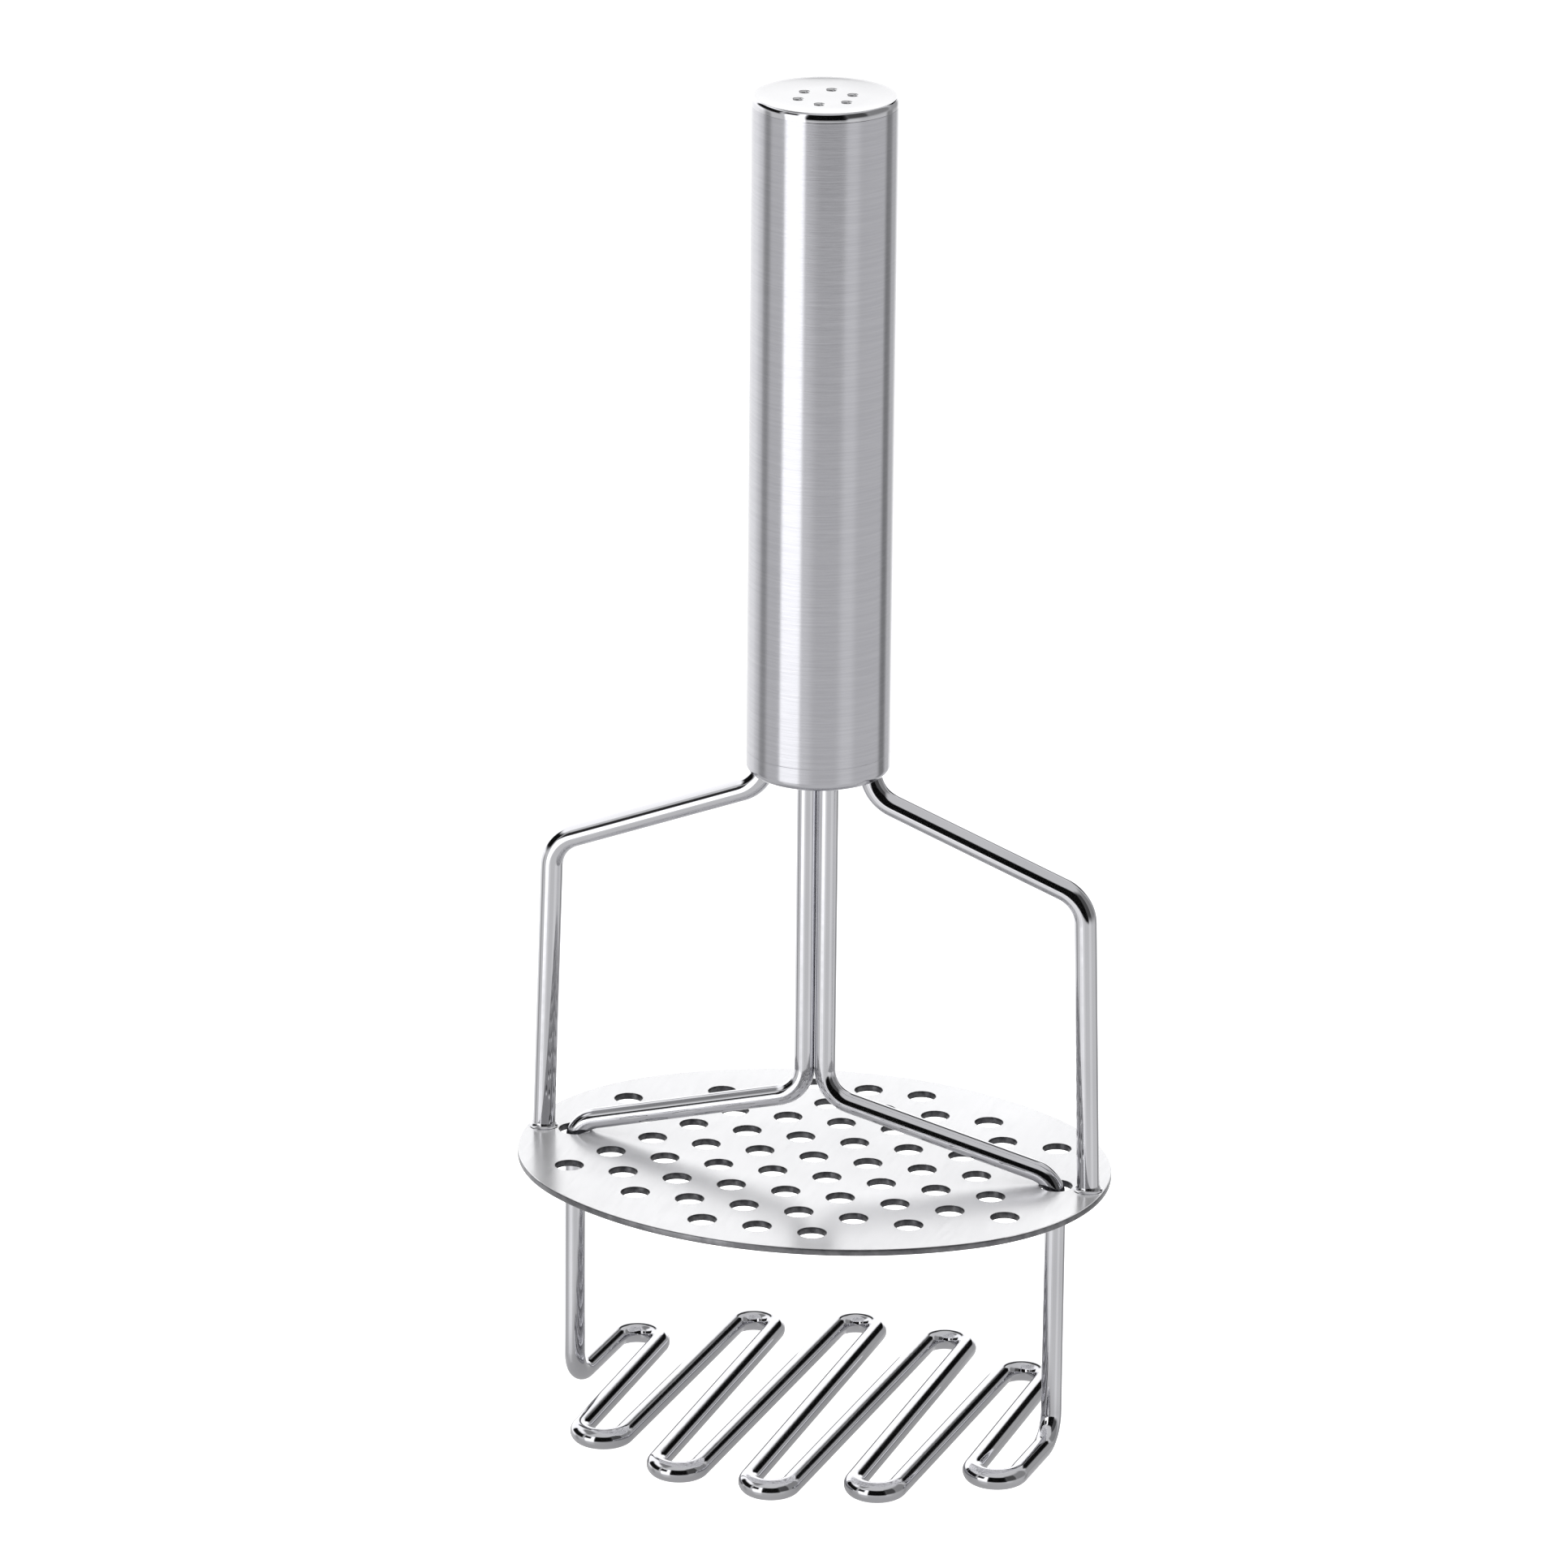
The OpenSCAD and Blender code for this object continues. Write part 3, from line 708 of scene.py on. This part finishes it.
def makePlate(s):
    low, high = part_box("masher_plate")
    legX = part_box("stem_wire_right")[1].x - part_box("stem_wire_right")[1].y
    length, width = high.x - low.x, high.y - low.y
    thickness = high.z - low.z
    bm = bmesh.new()
    outline = ovalEdges(bm, s, length, width, high.z)
    inset = 1 - s["rim round"] / (length / 2)
    bmesh.ops.scale(bm, verts=bm.verts, vec=(inset, 1 - s["rim round"] / (width / 2), 1))
    loops = [(outline, Vector((0, 0, 0)), length / 2 - s["rim round"], s["rim round"])]
    holes = [(place, s["hole"] / 2) for place in plateHoles(s, length, width, legX)]
    holes += [(Vector((side * legX, 0, 0)), s["guide hole"] / 2) for side in (-1, 1)]
    for place, radius in holes:
        lip = radius + s["hole round"]
        edges = circleEdges(bm, place + up * high.z, lip, s["hole sides"])
        loops.append((edges, place, lip, -s["hole round"]))
    bmesh.ops.triangle_fill(bm, use_beauty=True, edges=bm.edges[:])
    lower = []
    for edges, place, radius, rounding in loops:
        lower += wallDown(bm, edges, place, radius, rounding, thickness, s["round shares"])
    bmesh.ops.triangle_fill(bm, use_beauty=True, edges=lower)
    bm.normal_update()
    for face in bm.faces:
        x, y, z = face.calc_center_median()
        steep = abs(face.normal.z) < s["steep"]
        inHole = any(hypot(x - place.x, y - place.y) < radius + s["hole round"] for place, radius in holes)
        # faces in the holes take the painted-shade hole walls, other steep faces the outer wall darkened as
        # painted shade
        face.material_index = 1 if inHole else 2 if steep else 0
    print("plate holes:", len(holes))
    plate = finishPiece("masherPlate", bm, "plate_steel", "press", ["masher_plate"], flatNormal=up)
    plate.data.materials.append(punchedWallShade)
    plate.data.materials.append(cutRimShade)
    return plate


# Handle: tube and top cap
handleSettings = {
    "sides": 144,
    "bore": 23.8 * mm,
    "edge": 0.03 * mm,
    "edge steps": 2,
    "edge profile": 0.5,
    "edge band": 0.12 * mm,
    "corner": radians(60),
    "rim width": 0.5 * mm,
    "rim height": 1.15 * mm,
    "rim steps": 10,
    "dish edge": 6.4 * mm,
    "dish depth": 0.42 * mm,
    "dish steps": 8,
    "vent": 1.4 * mm,
    "vent ring": 9.8 * mm,
    "vents": 6,
    "vent angle": radians(34),
    "vent round": 0.45 * mm,
    "vent steps": 4,
    "vent sides": 24,
}


def makeHandleTube(s):
    low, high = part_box("handle_tube")
    bm = bmesh.new()
    profile = [(s["bore"] / 2, low.z), (high.x, low.z), (high.x, low.z + s["edge band"]),
               (high.x, high.z - s["edge band"]), (high.x, high.z), (s["bore"] / 2, high.z)]
    corners = [bm.verts.new((radius, 0, z)) for radius, z in profile]
    loop = [bm.edges.new((corners[i - 1], corners[i])) for i in range(len(corners))]
    bmesh.ops.spin(bm, geom=loop, cent=(0, 0, 0), axis=up, angle=2 * pi, steps=s["sides"], use_merge=True)
    bmesh.ops.recalc_face_normals(bm, faces=bm.faces)
    ends = []
    for edge in bm.edges:
        one, other = [vert.co for vert in edge.verts]
        level = abs(one.z - other.z) < meshSettings["merge"]
        outside = one.xy.length > s["bore"] / 2 + s["edge"]
        if level and outside and edge.calc_face_angle(0) > s["corner"]:
            ends.append(edge)
    bmesh.ops.bevel(bm, geom=ends, offset=s["edge"], offset_type="OFFSET", segments=s["edge steps"],
                    profile=s["edge profile"], affect="EDGES", material=-1)
    return finishPiece("handleTube", bm, "brushed_tube", "press", ["handle_tube"])


def curveDown(bm, loop, centre, radius, width, height, steps):
    # quarter of an ellipse, outwards for a rim and inwards, with a negative width, for a hole
    at, z = radius, 0
    for k in range(1, steps + 1):
        angle = pi / 2 * k / steps
        nextAt, nextZ = radius + width * sin(angle), height * (1 - cos(angle))
        loop = stepLoop(bm, loop, centre, nextAt / at, nextZ - z)
        at, z = nextAt, nextZ
    return loop


def makeTopCap(s):
    low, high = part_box("top_cap")
    thickness = high.z - low.z
    middle = Vector((0, 0, 0))
    bm = bmesh.new()
    faceZ = high.z - s["dish depth"]
    dish = circleEdges(bm, up * faceZ, s["dish edge"], s["sides"])
    vents = []
    for i in range(s["vents"]):
        angle = s["vent angle"] + i * 2 * pi / s["vents"]
        place = s["vent ring"] / 2 * Vector((cos(angle), sin(angle), 0))
        lip = s["vent"] / 2 + s["vent round"]
        vents.append((circleEdges(bm, place + up * faceZ, lip, s["vent sides"]), place, lip))
    bmesh.ops.triangle_fill(bm, use_beauty=True, edges=bm.edges[:])
    rim = high.x - s["rim width"]
    loop, radius, z = dish, s["dish edge"], 0
    for k in range(1, s["dish steps"] + 1):
        share = k / s["dish steps"]
        nextRadius, nextZ = s["dish edge"] + (rim - s["dish edge"]) * share, s["dish depth"] * share ** 2
        loop = stepLoop(bm, loop, middle, nextRadius / radius, z - nextZ)
        radius, z = nextRadius, nextZ
    loop = curveDown(bm, loop, middle, rim, s["rim width"], s["rim height"], s["rim steps"])
    lower = stepLoop(bm, loop, middle, 1, thickness - s["rim height"])
    for edges, place, lip in vents:
        loop = curveDown(bm, edges, place, lip, -s["vent round"], s["vent round"], s["vent steps"])
        lower += stepLoop(bm, loop, place, 1, thickness - s["dish depth"] - s["vent round"])
    bmesh.ops.triangle_fill(bm, use_beauty=True, edges=lower)
    for face in bm.faces:
        onRim = face.calc_center_median().xy.length > rim
        face.material_index = int(onRim)
    cap = finishPiece("topCap", bm, "polished_cap", "press", ["top_cap"], flatNormal=up)
    cap.data.materials.append(finishes["polished_wire"])
    return cap


# Weld beads: a hollow fillet round each outer wire's foot
weldSettings = {
    "width": 0.8 * mm,
    "height": 0.9 * mm,
    "steps": 6,
    "sides": 48,
    "overlap": 0.3 * mm,
}


def makeFootWelds(s):
    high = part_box("frame_wire_right")[1]
    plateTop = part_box("masher_plate")[1].z
    wireRadius = high.y
    footX = high.x - wireRadius / cos(frameWireSettings["leg splay"])
    bm = bmesh.new()
    for side in (-1, 1):
        inside = wireRadius - s["overlap"]
        profile = [(wireRadius + s["width"] * (1 - sin(angle)), plateTop + s["height"] * (1 - cos(angle)))
                   for angle in (pi / 2 * k / s["steps"] for k in range(s["steps"] + 1))]
        profile += [(inside, plateTop + s["height"]), (inside, plateTop)]
        corners = [bm.verts.new((side * footX + radius, 0, z)) for radius, z in profile]
        loop = [bm.edges.new((corners[i - 1], corners[i])) for i in range(len(corners))]
        bmesh.ops.spin(bm, geom=loop, cent=(side * footX, 0, 0), axis=up, angle=2 * pi, steps=s["sides"],
                       use_merge=True)
    return finishPiece("footWelds", bm, "weld_steel", "press", ["frame_foot_welds"])


# Spring: a closed curl at each end and the working curls between, pressed flat towards its upper seat
springSettings = {
    "wire": 1.6 * mm,
    "sides": 12,
    "steps": 28,
    "working curls": 12,
    "closed pitch share": 1.35,
    "top": 240.5 * mm,
    "travel": 40 * mm,
}


def makeSpring(s):
    low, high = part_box("return_spring")
    ringRadius = high.x - s["wire"] / 2
    # the spring's middle is the middle of its node
    bottom = low.z + high.z - s["top"]
    span = s["top"] - bottom - s["wire"]
    closedPitch = s["wire"] * s["closed pitch share"]
    pitch = (span - 2 * closedPitch) / s["working curls"]
    wire = startWire(Vector((ringRadius, 0, bottom + s["wire"] / 2)), inDepth, s["wire"] / 2, s["sides"])
    for curls, climb in ((1, closedPitch), (s["working curls"], pitch), (1, closedPitch)):
        steps = curls * s["steps"]
        made = bmesh.ops.spin(wire["bm"], geom=wire["rim"], cent=(0, 0, 0), axis=up, angle=2 * pi * curls,
                              steps=steps, dvec=up * climb / s["steps"])["geom_last"]
        wire["rim"] = only(made, bmesh.types.BMEdge)
    spring = finishPiece("returnSpring", endWire(wire), "spring_steel", "press", ["return_spring"])
    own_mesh(spring)
    return spring


makeInnerWire(innerWireSettings)
makeFrameWire(frameWireSettings, "frameWireLeft", "frame_wire_left", -1)
makeFrameWire(frameWireSettings, "frameWireRight", "frame_wire_right", 1)
makePlate(plateSettings)
makeHandleTube(handleSettings)
makeTopCap(handleSettings)
makeFootWelds(weldSettings)
makeSpring(springSettings)
print("pieces made")

# The nodes that stay as the solids show them get their own finish
slotOf = {part["node"]: part["material_slot"] for part in frame["record"]["subparts"]}
for name in ("bottom_cap", "guide_plug", "anchor_disc", "spring_seat",
             "lower_ferrule", "plunger", "upper_ferrule"):
    for slot in frame["nodes"][name].material_slots:
        slot.material = finishes[slotOf[name]]
